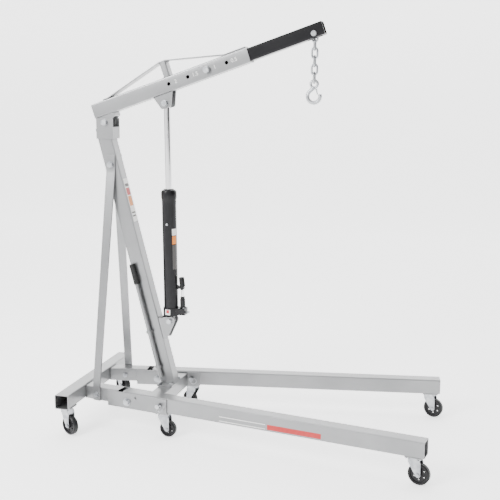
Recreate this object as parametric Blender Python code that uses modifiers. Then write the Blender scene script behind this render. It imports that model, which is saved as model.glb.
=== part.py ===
"""Folding engine hoist crane on six swivel casters.

Metres, +Z up. +X runs from the rear crossbar towards the hook, +Y is the crane's left.
The origin lies on the floor under the middle of the crane's length.
Sizes along X are first counted from the rear face of the rear crossbar.
"""
import math

import bmesh
import bpy
from mathutils import Matrix, Vector

GAP = 0.0003                 # between pieces that touch
HOLE_PLAY = 0.0004           # added to a bolt's radius for its hole

# rear crossbar
BAR_SIZE = 0.065
BAR_WALL = 0.0035
BAR_LENGTH = 0.686
BAR_BOTTOM = 0.128

# base arms, leg channels and legs
SPLAY = math.radians(9.43)
ARM_Y = 0.1335               # arm centreline at the crossbar's front face
ARM_WIDTH = 0.064
ARM_HEIGHT = 0.062
ARM_WALL = 0.004
LEG_WIDTH = 0.064
LEG_HEIGHT = 0.069
LEG_WALL = 0.0035
LEG_TOP = 0.186
LEG_END = 1.577              # along the centreline from the crossbar's front face
LEG_HEEL = 0.026             # leg behind its pivot
LEG_PIVOT = 0.230
LEG_PIVOT_DROP = 0.044       # pivot below the leg's top
CHANNEL_START = 0.128
CHANNEL_END = 0.433
CHANNEL_WALL = 0.004
CHANNEL_PLAY = 0.001
CHANNEL_LIP = 0.003          # channel walls stop this far below the leg's top
TUBE_CORNER = 0.006

# bolts and pins
BOLT_RADIUS = 0.008
WASHER_THICK = 0.0025
LOCK_PIN_S = 0.397
LOCK_PIN_DROP = 0.035
LOCK_PIN_RADIUS = 0.006
STORE_HOLE_AHEAD = 0.046     # empty pin hole ahead of the leg pivot
STORE_HOLE_RISE = 0.025
PIN_TRAVEL = 0.008

# cross beam and mast
BEAM_SIZE = 0.066
BEAM_WALL = 0.004
BEAM_FRONT = 0.443
MAST_LEAN = math.radians(14.48)
MAST_SIZE = 0.065
MAST_DEPTH = 0.067
MAST_WALL = 0.004
MAST_FOOT_X = 0.4150         # mast centreline where it meets its foot plate
MAST_TOP = 1.345
FOOT_PLATE = (0.074, 0.130, 0.006)

# boom and its pivot
PIVOT_X = 0.130
PIVOT_Z = 1.375
BOOM_ANGLE = math.radians(18.86)
BOOM_RISE = 0.062            # boom centreline above the pivot
BOOM_SIZE = 0.065
BOOM_PLAY = 0.001            # each side, between the head bracket's cheeks
BOOM_WIDTH = MAST_SIZE - 2 * BOOM_PLAY
BOOM_WALL = 0.004
BOOM_BACK = 0.040
BOOM_FRONT = 0.7235
HOLE_FIRST = 0.344
HOLE_PITCH = 0.0925
HOLE_COUNT = 4
HOLE_RADIUS = 0.0075
LOCK_HOLE = 2                # hole that the lock bolt stands in
EXT_PLAY = 0.0005            # each side, inside the boom
EXT_SIZE = BOOM_SIZE - 2 * (BOOM_WALL + EXT_PLAY)
EXT_WIDTH = BOOM_WIDTH - 2 * (BOOM_WALL + EXT_PLAY)
EXT_WALL = 0.004
EXT_BACK = 0.400
EXT_FRONT = 1.058
HOOK_BOLT_T = 1.014
HOOK_BOLT_N = -0.011         # from the extension's centreline

# head bracket on the mast
HEAD_CHEEK = 0.006
HEAD_BACK = 0.040            # behind the boom pivot
HEAD_FRONT = 0.0395
HEAD_UP = 0.018
HEAD_DOWN = 0.073
HEAD_WEB_TOP = 0.020         # front web's top below the pivot

# truss over the boom
TRUSS_WIDTH = 0.050
TRUSS_THICK = 0.005
TRUSS_BACK = 0.022
TRUSS_TOE = 0.045
POST_BACK = 0.328
POST_FRONT = 0.358
POST_RISE = 0.066
TRUSS_LAND = 0.620
TRUSS_FRONT = 0.718

# ram
RAM_FOOT_X = 0.4245
RAM_FOOT_Z = 0.4805
RAM_TOP_T = 0.2967           # on the boom, from the boom pivot
RAM_TOP_N = -0.0099
RAM_RADIUS = 0.0325
RAM_BORE = 0.0150
ROD_RADIUS = 0.0145
RAM_BASE = (0.0245, 0.060)   # base block, above the foot pin
RAM_TUBE_TOP = 0.603
ROD_TAIL = 0.300
CHEEK_THICK = 0.006
FOOT_CHEEK_OUT = 0.030
TOP_CHEEK_OUT = 0.027
PUMP_X = 0.056               # pump axis ahead of the ram axis
PUMP_RADIUS = 0.010
PLUNGER_RADIUS = 0.006

# braces and pump handle
BRACE_TOP_WIDTH = 0.042
BRACE_FOOT_WIDTH = 0.036
BRACE_THICK = 0.008
BRACE_TOP_Z = 1.188
BRACE_FOOT_S = 0.0695
HANDLE_RADIUS = 0.010
GRIP_RADIUS = 0.013
HANDLE_LENGTH = 0.540
GRIP_LENGTH = 0.092
HANDLE_LOW = 0.037           # up the mast from its foot
HANDLE_BACK = 0.018          # behind the mast's centreline
CLIPS = (0.090, 0.257)       # ring clips' places up the mast

# chain and hook
CHAIN_WIRE = 0.0045
CHAIN_INNER = 0.034          # inner length of a link
CHAIN_HALF = 0.007           # inner half width of a link
CHAIN_LINKS = 6
HOOK_BOLT_RADIUS = 0.006
HOOK_BOWL = 0.027
HOOK_THICK = 0.008

# casters: swivel place, wheel radius, width and trail
WHEEL_RADIUS = 0.0445
MID_WHEEL_RADIUS = 0.0375
WHEEL_WIDTH = 0.025
HUB_HALF = 0.0142
TRAIL = 0.020
WHEEL_SIDES = 24
AXLE_RADIUS = 0.005
PLATE_THICK = 0.003
PLATE_LENGTH = 0.068
PLATE_WIDTH = 0.062
REAR_CASTER_X = 0.0325
REAR_CASTER_IN = 0.051       # in from the crossbar's end
MID_CASTER_S = 0.400
FRONT_CASTER_S = 1.533
REAR_HEADING = (-25, -25)     # degrees the trail turns from +X, left and right
MID_HEADING = (160, -5)
FRONT_HEADING = (-15, -15)

SIDES = {"left": 1.0, "right": -1.0}

# places that follow from the sizes above
ARM_X = BAR_SIZE
LEG_BOTTOM = LEG_TOP - LEG_HEIGHT
CHANNEL_FLOOR = LEG_BOTTOM - CHANNEL_PLAY
CHANNEL_BOTTOM = CHANNEL_FLOOR - CHANNEL_WALL
CHANNEL_TOP = LEG_TOP - CHANNEL_LIP
CHANNEL_HALF = LEG_WIDTH / 2 + CHANNEL_PLAY + CHANNEL_WALL
PIVOT_LEG_Z = LEG_TOP - LEG_PIVOT_DROP
LOCK_PIN_Z = LEG_TOP - LOCK_PIN_DROP
HEEL_SWING = math.hypot(LEG_HEEL, LEG_PIVOT_DROP)
ARM_END = LEG_PIVOT - HEEL_SWING - 0.0015
BEAM_TOP = CHANNEL_BOTTOM + BEAM_SIZE
MAST_BASE_Z = BEAM_TOP + GAP + FOOT_PLATE[2]
FRONT_REACH = ARM_X + FRONT_CASTER_S * math.cos(SPLAY) + TRAIL + WHEEL_RADIUS
ORIGIN_X = FRONT_REACH / 2

COLOURS = {
    "silver_paint": ((0.55, 0.56, 0.57), 0.28, 0.55),
    "black_paint": ((0.012, 0.012, 0.013), 0.22, 0.0),
    "chrome": ((0.80, 0.80, 0.82), 0.08, 1.0),
    "zinc": ((0.72, 0.74, 0.76), 0.30, 1.0),
    "wheel_black": ((0.018, 0.018, 0.019), 0.40, 0.0),
}


# ---------------------------------------------------------------- scene helpers

def clear_scene():
    for obj in list(bpy.data.objects):
        bpy.data.objects.remove(obj, do_unlink=True)


def new_collection(name):
    collection = bpy.data.collections.new(name)
    bpy.context.scene.collection.children.link(collection)
    return collection


def make_material(name):
    colour, roughness, metallic = COLOURS[name]
    material = bpy.data.materials.new(name)
    material.use_nodes = True
    shader = material.node_tree.nodes["Principled BSDF"]
    shader.inputs["Base Color"].default_value = (*colour, 1.0)
    shader.inputs["Roughness"].default_value = roughness
    shader.inputs["Metallic"].default_value = metallic
    return material


clear_scene()
PARTS = new_collection("engine_hoist_crane")
TOOLS = new_collection("engine_hoist_crane_cutters")


def frame_at(name, matrix):
    """An empty that holds pieces; its place is in crane coordinates, from the rear face."""
    empty = bpy.data.objects.new(name, None)
    empty.matrix_world = Matrix.Translation((-ORIGIN_X, 0.0, 0.0)) @ matrix
    empty.empty_display_size = 0.05
    PARTS.objects.link(empty)
    return empty


def add_object(name, mesh, frame, finish=None, smooth=False):
    """A piece with a finish, or a tool for a Boolean when no finish is given."""
    obj = bpy.data.objects.new(name, mesh)
    obj.parent = frame
    if finish:
        mesh.materials.append(make_material_once(finish))
        PARTS.objects.link(obj)
    else:
        obj.hide_render = True
        obj.display_type = "WIRE"
        TOOLS.objects.link(obj)
    if smooth:
        mesh.shade_smooth()
        mesh.set_sharp_from_angle(angle=math.radians(35))
    return obj


def make_material_once(name):
    return bpy.data.materials.get(name) or make_material(name)


def boolean(target, tool, operation):
    modifier = target.modifiers.new(f"{operation.lower()}_{tool.name}"[:60], "BOOLEAN")
    modifier.operation = operation
    modifier.solver = "EXACT"
    modifier.object = tool


def cut(target, *tools):
    for tool in tools:
        boolean(target, tool, "DIFFERENCE")


def weld(target, *tools):
    for tool in tools:
        boolean(target, tool, "UNION")


def mesh_from(name, bm):
    bmesh.ops.recalc_face_normals(bm, faces=bm.faces)
    mesh = bpy.data.meshes.new(name)
    bm.to_mesh(mesh)
    bm.free()
    return mesh


def evaluated_mesh(obj):
    """The object's evaluated mesh with its doubles merged; the object is removed."""
    bpy.context.scene.collection.objects.link(obj)
    graph = bpy.context.evaluated_depsgraph_get()
    mesh = bpy.data.meshes.new_from_object(obj.evaluated_get(graph), depsgraph=graph)
    data = obj.data
    bpy.data.objects.remove(obj, do_unlink=True)
    if isinstance(data, bpy.types.Curve):
        bpy.data.curves.remove(data)
    bm = bmesh.new()
    bm.from_mesh(mesh)
    bmesh.ops.remove_doubles(bm, verts=bm.verts, dist=0.00002)
    bmesh.ops.recalc_face_normals(bm, faces=bm.faces)
    bm.to_mesh(mesh)
    bm.free()
    return mesh


# ---------------------------------------------------------------- shape helpers

def box_mesh(name, low, high):
    low, high = Vector(low), Vector(high)
    bm = bmesh.new()
    size = high - low
    bmesh.ops.create_cube(bm, size=1.0)
    bmesh.ops.scale(bm, vec=size, verts=bm.verts)
    bmesh.ops.translate(bm, vec=(low + high) / 2, verts=bm.verts)
    return mesh_from(name, bm)


def box(name, low, high, frame, finish=None):
    return add_object(name, box_mesh(name, low, high), frame, finish)


def rod_mesh(name, start, end, radius, sides=16, turn=0.0):
    """A round or many-sided bar between two points; turn rotates its corners."""
    start, end = Vector(start), Vector(end)
    way = end - start
    bm = bmesh.new()
    bmesh.ops.create_cone(bm, cap_ends=True, segments=sides, radius1=radius, radius2=radius,
                          depth=way.length)
    turning = way.to_track_quat("Z", "Y").to_matrix().to_4x4() @ Matrix.Rotation(turn, 4, "Z")
    bmesh.ops.transform(bm, matrix=Matrix.Translation((start + end) / 2) @ turning, verts=bm.verts)
    return mesh_from(name, bm)


def rod(name, start, end, radius, frame, finish=None, sides=16, turn=0.0):
    mesh = rod_mesh(name, start, end, radius, sides, turn)
    return add_object(name, mesh, frame, finish, smooth=sides > 8)


def hexagon(name, start, end, flats, frame):
    return rod(name, start, end, flats / math.sqrt(3.0), frame, sides=6)


PLANES = {
    "XY": Matrix.Identity(4),
    "XZ": Matrix(((1, 0, 0, 0), (0, 0, -1, 0), (0, 1, 0, 0), (0, 0, 0, 1))),
    "YZ": Matrix(((0, 0, 1, 0), (1, 0, 0, 0), (0, 1, 0, 0), (0, 0, 0, 1))),
}


def outline_mesh(name, loops, low, high, plane):
    """A flat outline, with holes as further loops, extruded from low to high across its plane."""
    curve = bpy.data.curves.new(name, "CURVE")
    curve.dimensions = "2D"
    curve.fill_mode = "BOTH"
    curve.extrude = (high - low) / 2
    for loop in loops:
        spline = curve.splines.new("POLY")
        spline.points.add(len(loop) - 1)
        for point, (a, b) in zip(spline.points, loop):
            point.co = (a, b, 0.0, 1.0)
        spline.use_cyclic_u = True
    mesh = evaluated_mesh(bpy.data.objects.new(name, curve))
    middle = (low + high) / 2
    shift = {"XY": (0, 0, middle), "XZ": (0, middle, 0), "YZ": (middle, 0, 0)}[plane]
    mesh.transform(Matrix.Translation(shift) @ PLANES[plane])
    return mesh


def outline(name, loops, low, high, plane, frame, finish=None):
    return add_object(name, outline_mesh(name, loops, low, high, plane), frame, finish)


def arc(centre, radius, start, end, steps):
    """Points along an arc, angles in degrees."""
    points = []
    for i in range(steps + 1):
        angle = math.radians(start + (end - start) * i / steps)
        points.append((centre[0] + radius * math.cos(angle), centre[1] + radius * math.sin(angle)))
    return points


def round_rect(width, height, corner, centre=(0.0, 0.0), steps=2):
    points = []
    half_w, half_h = width / 2 - corner, height / 2 - corner
    for index, (sx, sy) in enumerate(((1, 1), (-1, 1), (-1, -1), (1, -1))):
        middle = (centre[0] + sx * half_w, centre[1] + sy * half_h)
        points += arc(middle, corner, 90 * index, 90 * index + 90, steps)
    return points


def tube_loops(width, height, wall, centre=(0.0, 0.0)):
    outer = round_rect(width, height, TUBE_CORNER, centre)
    inner_corner = max(TUBE_CORNER - wall, 0.001)
    inner = round_rect(width - 2 * wall, height - 2 * wall, inner_corner, centre)
    return [outer, inner]


def turned_mesh(name, profile, sides):
    """A profile of (radius, height) points from top to bottom, turned about Z."""
    mesh = bpy.data.meshes.new(name)
    bm = bmesh.new()
    verts = [bm.verts.new((radius, 0.0, height)) for radius, height in profile]
    for first, second in zip(verts, verts[1:]):
        bm.edges.new((first, second))
    if profile[0][0] > 0.0:
        bm.edges.new((verts[-1], verts[0]))
    bm.to_mesh(mesh)
    bm.free()
    obj = bpy.data.objects.new(name, mesh)
    screw = obj.modifiers.new("turn", "SCREW")
    screw.axis = "Z"
    screw.steps = sides
    screw.render_steps = sides
    screw.use_merge_vertices = True
    screw.merge_threshold = 0.00001
    return evaluated_mesh(obj)


def turned(name, profile, frame, finish=None, sides=24, matrix=None):
    mesh = turned_mesh(name, profile, sides)
    if matrix:
        mesh.transform(matrix)
    return add_object(name, mesh, frame, finish, smooth=True)


def wire_mesh(name, points, radius, closed=False, resolution=2):
    """A bent round bar through points, as a curve with a bevel."""
    curve = bpy.data.curves.new(name, "CURVE")
    curve.dimensions = "3D"
    curve.bevel_depth = radius
    curve.bevel_resolution = resolution
    curve.use_fill_caps = not closed
    spline = curve.splines.new("POLY")
    spline.points.add(len(points) - 1)
    for point, place in zip(spline.points, points):
        point.co = (*place, 1.0)
    spline.use_cyclic_u = closed
    return evaluated_mesh(bpy.data.objects.new(name, curve))


def wire(name, points, radius, frame, finish=None, closed=False, resolution=2):
    mesh = wire_mesh(name, points, radius, closed, resolution)
    return add_object(name, mesh, frame, finish, smooth=True)


def bolt(name, start, end, radius, frame, flats=0.024, washer=0.0, finish="zinc"):
    """A bolt through pieces between start and end: head and washer at start, nut at end."""
    start, end = Vector(start), Vector(end)
    way = (end - start).normalized()
    head = flats * 0.42
    washer_radius = washer or flats * 0.62
    seat = start - way * GAP
    far_seat = end + way * GAP
    shank = rod(name, seat - way * (WASHER_THICK + head / 2), far_seat + way * (head + 0.004),
                radius, frame, finish)
    weld(
        shank,
        rod(name + "_washer", seat - way * WASHER_THICK, seat, washer_radius, frame, sides=20),
        hexagon(name + "_head", seat - way * (WASHER_THICK + head),
                seat - way * WASHER_THICK * 0.5, flats, frame),
        rod(name + "_back_washer", far_seat, far_seat + way * WASHER_THICK, washer_radius, frame,
            sides=20),
        hexagon(name + "_nut", far_seat + way * WASHER_THICK * 0.5,
                far_seat + way * (WASHER_THICK + head * 0.8), flats, frame),
    )
    return shank


def hole(name, start, end, radius, frame, sides=16):
    return rod(name, start, end, radius + HOLE_PLAY, frame, sides=sides)


# ---------------------------------------------------------------- frames

def leg_matrix(side):
    """Origin on the arm's centreline at the crossbar, on the floor; X along the leg."""
    turn = Matrix.Rotation(side * SPLAY, 4, "Z")
    return Matrix.Translation((ARM_X, side * ARM_Y, 0.0)) @ turn


def mast_matrix():
    """Origin at the mast's foot; Z along the mast."""
    return Matrix.Translation((MAST_FOOT_X, 0.0, MAST_BASE_Z)) @ Matrix.Rotation(-MAST_LEAN, 4, "Y")


def boom_matrix():
    """Origin on the boom pivot; X along the boom."""
    return Matrix.Translation((PIVOT_X, 0.0, PIVOT_Z)) @ Matrix.Rotation(-BOOM_ANGLE, 4, "Y")


RAM_FOOT = Vector((RAM_FOOT_X, 0.0, RAM_FOOT_Z))
RAM_TOP = boom_matrix() @ Vector((RAM_TOP_T, 0.0, RAM_TOP_N))
RAM_LENGTH = (RAM_TOP - RAM_FOOT).length
RAM_LEAN = math.atan2(RAM_FOOT.x - RAM_TOP.x, RAM_TOP.z - RAM_FOOT.z)


def ram_matrix():
    """Origin on the ram's foot pin; Z along the ram."""
    return Matrix.Translation(RAM_FOOT) @ Matrix.Rotation(-RAM_LEAN, 4, "Y")


BASE = frame_at("base_frame", Matrix.Identity(4))
MAST = frame_at("mast_frame", mast_matrix())
BOOM = frame_at("boom_frame", boom_matrix())
RAM = frame_at("ram_frame", ram_matrix())
ARMS = {name: frame_at(f"arm_frame_{name}", leg_matrix(side)) for name, side in SIDES.items()}
LEGS = {
    name: frame_at(f"leg_frame_{name}",
                   leg_matrix(side) @ Matrix.Translation((LEG_PIVOT, 0.0, PIVOT_LEG_Z)))
    for name, side in SIDES.items()
}


# ---------------------------------------------------------------- casters

def caster_plate(name, centre, top, frame, target):
    """The fixed top plate of a caster, welded under its support in the support's frame."""
    low = (centre[0] - PLATE_LENGTH / 2, centre[1] - PLATE_WIDTH / 2, top - PLATE_THICK)
    high = (centre[0] + PLATE_LENGTH / 2, centre[1] + PLATE_WIDTH / 2, top + 0.001)
    weld(target, box(name + "_plate", low, high, frame))


def caster(name, place, top, wheel_radius, heading):
    """A fork that swivels under its plate, and its wheel; heading is the trail's direction."""
    frame = frame_at(name + "_swivel_frame",
                     Matrix.Translation((place[0], place[1], 0.0)) @ Matrix.Rotation(heading, 4, "Z"))
    race_top = top - PLATE_THICK - GAP
    race_low = race_top - 0.009
    crown_low = race_low - 0.003
    fork_half = HUB_HALF + 0.0008
    sheet = 0.003
    shoulder = 0.022
    fork = rod(name + "_fork", (0, 0, race_low), (0, 0, race_top), 0.024, frame, "zinc", sides=20)
    crown = box(name + "_crown", (-shoulder, -fork_half - sheet, crown_low),
                (shoulder + 0.002, fork_half + sheet, race_low + 0.0005), frame)
    weld(fork, crown)
    side_loop = [(shoulder + 0.002, race_low), (-shoulder, race_low), (-shoulder, crown_low - 0.010)]
    side_loop += arc((TRAIL, wheel_radius), 0.011, 200, 350, 5)
    side_loop.append((shoulder + 0.008, crown_low - 0.012))
    for tag, low, high in (("a", fork_half, fork_half + sheet), ("b", -fork_half - sheet, -fork_half)):
        weld(fork, outline(f"{name}_fork_side_{tag}", [side_loop], low, high, "XZ", frame))
    axle_half = fork_half + sheet + 0.004
    weld(fork, rod(name + "_axle", (TRAIL, -axle_half, wheel_radius), (TRAIL, axle_half, wheel_radius),
                   AXLE_RADIUS, frame, sides=12))
    caster_wheel(name, frame, wheel_radius)


def caster_wheel(name, swivel, wheel_radius):
    """A moulded wheel with a ring of round holes in its web, turned about its axle."""
    half = WHEEL_WIDTH / 2
    tread = wheel_radius / math.cos(math.pi / WHEEL_SIDES)
    rim = wheel_radius * 0.78
    hub = 0.013
    bore = AXLE_RADIUS + HOLE_PLAY
    web = 0.006
    profile = [
        (bore, HUB_HALF), (hub, HUB_HALF), (hub, web), (rim, web), (rim, half - 0.002),
        (tread - 0.004, half), (tread, half - 0.004), (tread, -half + 0.004), (tread - 0.004, -half),
        (rim, -half + 0.002), (rim, -web), (hub, -web), (hub, -HUB_HALF), (bore, -HUB_HALF),
    ]
    turn = Matrix.Rotation(math.radians(90), 4, "X") @ Matrix.Rotation(math.pi / WHEEL_SIDES, 4, "Z")
    place = Matrix.Translation((TRAIL, 0.0, wheel_radius))
    wheel = turned(name + "_wheel", profile, swivel, "wheel_black", WHEEL_SIDES, place @ turn)
    ring = (hub + rim) / 2
    for index in range(6):
        angle = math.radians(60 * index + 30)
        x = TRAIL + ring * math.cos(angle)
        z = wheel_radius + ring * math.sin(angle)
        cut(wheel, rod(f"{name}_web_hole_{index}", (x, -0.02, z), (x, 0.02, z), 0.0045, swivel, sides=8))


# ---------------------------------------------------------------- base

def rear_crossbar():
    centre = (BAR_SIZE / 2, BAR_BOTTOM + BAR_SIZE / 2)
    bar = outline("rear_crossbar", tube_loops(BAR_SIZE, BAR_SIZE, BAR_WALL, centre),
                  -BAR_LENGTH / 2, BAR_LENGTH / 2, "XZ", BASE, "silver_paint")
    for name, side in SIDES.items():
        place = (REAR_CASTER_X, side * (BAR_LENGTH / 2 - REAR_CASTER_IN))
        caster_plate(f"rear_caster_{name}", place, BAR_BOTTOM, BASE, bar)
        heading = REAR_HEADING[0 if side > 0 else 1]
        caster(f"rear_caster_{name}", place, BAR_BOTTOM, WHEEL_RADIUS, math.radians(heading))


def base_arm(name, side):
    """Square tube from the crossbar into the leg channel, cut to the crossbar's face."""
    frame = ARMS[name]
    centre = (0.0, LEG_TOP - ARM_HEIGHT / 2)
    arm = outline(f"base_arm_{name}", tube_loops(ARM_WIDTH, ARM_HEIGHT, ARM_WALL, centre),
                  -0.02, ARM_END, "YZ", frame, "silver_paint")
    cut(arm, box(f"base_arm_{name}_face_cut", (-0.2, -0.4, 0.0), (ARM_X + GAP, 0.4, 0.3), BASE))
    foot_x = BRACE_FOOT_S
    cut(arm, hole(f"base_arm_{name}_bolt_cut", (foot_x, -0.05, brace_foot_z()),
                  (foot_x, 0.05, brace_foot_z()), BOLT_RADIUS * 0.75, frame))


def brace_foot_z():
    return LEG_TOP - ARM_HEIGHT / 2


def leg_channel(name, side):
    """Open-topped channel that the leg folds down into, with two shims around the arm."""
    frame = ARMS[name]
    inner = CHANNEL_HALF - CHANNEL_WALL
    loop = [
        (-CHANNEL_HALF, CHANNEL_TOP), (-CHANNEL_HALF, CHANNEL_BOTTOM),
        (CHANNEL_HALF, CHANNEL_BOTTOM), (CHANNEL_HALF, CHANNEL_TOP),
        (inner, CHANNEL_TOP), (inner, CHANNEL_FLOOR), (-inner, CHANNEL_FLOOR), (-inner, CHANNEL_TOP),
    ]
    channel = outline(f"leg_channel_{name}", [loop], CHANNEL_START, CHANNEL_END, "YZ", frame,
                      "silver_paint")
    arm_half = ARM_WIDTH / 2 + GAP
    for tag, low, high in (("a", arm_half, inner + 0.001), ("b", -inner - 0.001, -arm_half)):
        weld(channel, box(f"leg_channel_{name}_shim_{tag}", (CHANNEL_START, low, CHANNEL_FLOOR + 0.010),
                          (CHANNEL_START + 0.036, high, CHANNEL_TOP - 0.012), frame))
    heel_sweep = math.hypot(LEG_HEEL, PIVOT_LEG_Z - LEG_BOTTOM) + 0.002
    upright_back = LEG_PIVOT_DROP + 0.004
    cut(
        channel,
        box(f"leg_channel_{name}_window", (LEG_PIVOT - upright_back, -inner, CHANNEL_BOTTOM - 0.01),
            (LEG_PIVOT + heel_sweep, inner, CHANNEL_FLOOR + 0.002), frame),
        cross_hole(f"leg_channel_{name}_pivot", LEG_PIVOT, PIVOT_LEG_Z, BOLT_RADIUS, frame),
        cross_hole(f"leg_channel_{name}_lock", LOCK_PIN_S, LOCK_PIN_Z, LOCK_PIN_RADIUS, frame),
        cross_hole(f"leg_channel_{name}_store", LEG_PIVOT + STORE_HOLE_AHEAD,
                   PIVOT_LEG_Z + STORE_HOLE_RISE, LOCK_PIN_RADIUS, frame),
    )
    caster_plate(f"mid_caster_{name}", (MID_CASTER_S, 0.0), CHANNEL_BOTTOM, frame, channel)
    place = leg_matrix(side) @ Vector((MID_CASTER_S, 0.0, 0.0))
    heading = MID_HEADING[0 if side > 0 else 1]
    caster(f"mid_caster_{name}", place, CHANNEL_BOTTOM, MID_WHEEL_RADIUS, math.radians(heading))
    bolt(f"leg_pivot_bolt_{name}", (LEG_PIVOT, side * CHANNEL_HALF, PIVOT_LEG_Z),
         (LEG_PIVOT, -side * CHANNEL_HALF, PIVOT_LEG_Z), BOLT_RADIUS, frame, 0.024, 0.018)


def cross_hole(name, along, height, radius, frame):
    return hole(name, (along, -0.08, height), (along, 0.08, height), radius, frame)


def cross_holes(name, places, radius, frame):
    """One tool with a bar across the frame at each place along and above it."""
    bm = bmesh.new()
    for along, height in places:
        turning = Matrix.Rotation(math.radians(90), 4, "X") @ Matrix.Rotation(0.1, 4, "Z")
        bmesh.ops.create_cone(bm, cap_ends=True, segments=16, radius1=radius + HOLE_PLAY,
                              radius2=radius + HOLE_PLAY, depth=0.16,
                              matrix=Matrix.Translation((along, 0.0, height)) @ turning)
    return add_object(name, mesh_from(name, bm), frame)


def cross_beam():
    """Tube between the two channels that carries the mast's foot."""
    centre = (BEAM_FRONT - BEAM_SIZE / 2, CHANNEL_BOTTOM + BEAM_SIZE / 2)
    beam = outline("cross_beam", tube_loops(BEAM_SIZE, BEAM_SIZE, BEAM_WALL, centre),
                   -0.24, 0.24, "XZ", BASE, "silver_paint")
    for name, side in SIDES.items():
        inner_face = -side * (CHANNEL_HALF + GAP)
        low, high = sorted((inner_face, side * 0.30))
        cut(beam, box(f"cross_beam_trim_{name}", (0.0, low, 0.0), (0.8, high, 0.3), ARMS[name]))


def mast():
    """Leaning mast tube on its foot plate, cut level at the top under the boom's heel."""
    tube = outline("mast_tube", tube_loops(MAST_DEPTH, MAST_SIZE, MAST_WALL), -0.03, 1.30, "XY",
                   MAST, "silver_paint")
    plate_x = BEAM_FRONT - BEAM_SIZE / 2
    plate_low = (plate_x - FOOT_PLATE[0] / 2, -FOOT_PLATE[1] / 2, BEAM_TOP + GAP)
    plate_high = (plate_x + FOOT_PLATE[0] / 2, FOOT_PLATE[1] / 2, MAST_BASE_Z)
    cut(tube, box("mast_foot_cut", (0.2, -0.1, 0.0), (0.7, 0.1, MAST_BASE_Z - 0.001), BASE))
    cut(tube, box("mast_top_cut", (-0.2, -0.1, MAST_TOP), (0.5, 0.1, MAST_TOP + 0.3), BASE))
    plate = box("mast_foot_plate", plate_low, plate_high, BASE)
    bore = MAST_SIZE - 2 * MAST_WALL
    cut(plate, rod("mast_drain", (plate_x, 0, 0.1), (plate_x, 0, 0.3), bore * 0.2, BASE, sides=12))
    weld(tube, plate)
    handle_clips(tube)
    top_x, top_z = brace_top()
    cut(tube, hole("mast_brace_bolt_cut", (top_x, -0.06, top_z), (top_x, 0.06, top_z),
                   BOLT_RADIUS, BASE))


def mast_axis_x(height):
    return MAST_FOOT_X - (height - MAST_BASE_Z) * math.tan(MAST_LEAN)


def brace_top():
    return mast_axis_x(BRACE_TOP_Z), BRACE_TOP_Z


def mast_head_bracket():
    """Two cheeks and a front web that wrap the mast's top and carry the boom pivot."""
    inner = MAST_SIZE / 2 + GAP
    outer = inner + HEAD_CHEEK
    loop = [
        (PIVOT_X - HEAD_BACK, PIVOT_Z + HEAD_UP), (PIVOT_X - HEAD_BACK, PIVOT_Z - HEAD_DOWN),
        (PIVOT_X + HEAD_FRONT, PIVOT_Z - HEAD_DOWN), (PIVOT_X + HEAD_FRONT, PIVOT_Z + HEAD_UP),
    ]
    bracket = outline("mast_head_bracket", [loop], inner, outer, "XZ", BASE, "silver_paint")
    other = outline("mast_head_other_cheek", [loop], -outer, -inner, "XZ", BASE)
    web = box("mast_head_web", (PIVOT_X + HEAD_FRONT - 0.004, -outer, PIVOT_Z - HEAD_DOWN),
              (PIVOT_X + HEAD_FRONT, outer, PIVOT_Z - HEAD_WEB_TOP), BASE)
    weld(bracket, web, other)
    cut(bracket, hole("mast_head_bolt_cut", (PIVOT_X, -0.06, PIVOT_Z), (PIVOT_X, 0.06, PIVOT_Z),
                      BOLT_RADIUS, BASE))
    bolt("boom_pivot_bolt", (PIVOT_X, -outer, PIVOT_Z), (PIVOT_X, outer, PIVOT_Z), BOLT_RADIUS, BASE)


def loft_mesh(name, sections):
    """A solid through sections of four corners each, given in matching order."""
    bm = bmesh.new()
    rings = [[bm.verts.new(corner) for corner in section] for section in sections]
    for lower, upper in zip(rings, rings[1:]):
        for index in range(4):
            after = (index + 1) % 4
            bm.faces.new((lower[index], lower[after], upper[after], upper[index]))
    bm.faces.new(rings[0])
    bm.faces.new(rings[-1])
    return mesh_from(name, bm)


def brace(name, side):
    """Flat bar bolted to the mast's side and to the outer side of the base arm, bent at both."""
    top_x, top_z = brace_top()
    foot_z = brace_foot_z()
    tab_in = MAST_SIZE / 2 + GAP
    arm_out = ARM_WIDTH / 2 + GAP
    sections = []
    for height, centre in ((top_z + 0.042, top_x), (top_z - 0.038, top_x - 0.001)):
        half = BRACE_TOP_WIDTH / 2
        corners = []
        for along, out in ((-half, tab_in), (half, tab_in), (half, tab_in + BRACE_THICK),
                           (-half, tab_in + BRACE_THICK)):
            corners.append(Vector((centre + along, side * out, height)))
        sections.append(corners)
    for height in (LEG_TOP + 0.010, foot_z - 0.029):
        half = BRACE_FOOT_WIDTH / 2
        corners = []
        for along, out in ((-half, arm_out), (half, arm_out), (half, arm_out + BRACE_THICK),
                           (-half, arm_out + BRACE_THICK)):
            corners.append(leg_matrix(side) @ Vector((BRACE_FOOT_S + along, side * out, height)))
        sections.append(corners)
    bar = add_object(f"brace_{name}", loft_mesh(f"brace_{name}", sections), BASE, "silver_paint")
    frame = ARMS[name]
    cut(bar, hole(f"brace_{name}_top_cut", (top_x, -0.2, top_z), (top_x, 0.2, top_z), BOLT_RADIUS, BASE))
    cut(bar, hole(f"brace_{name}_foot_cut", (BRACE_FOOT_S, -0.1, foot_z), (BRACE_FOOT_S, 0.1, foot_z),
                  BOLT_RADIUS * 0.75, frame))
    bolt(f"brace_foot_bolt_{name}", (BRACE_FOOT_S, side * (arm_out + BRACE_THICK), foot_z),
         (BRACE_FOOT_S, -side * ARM_WIDTH / 2, foot_z), BOLT_RADIUS * 0.75, frame, 0.019)


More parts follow.
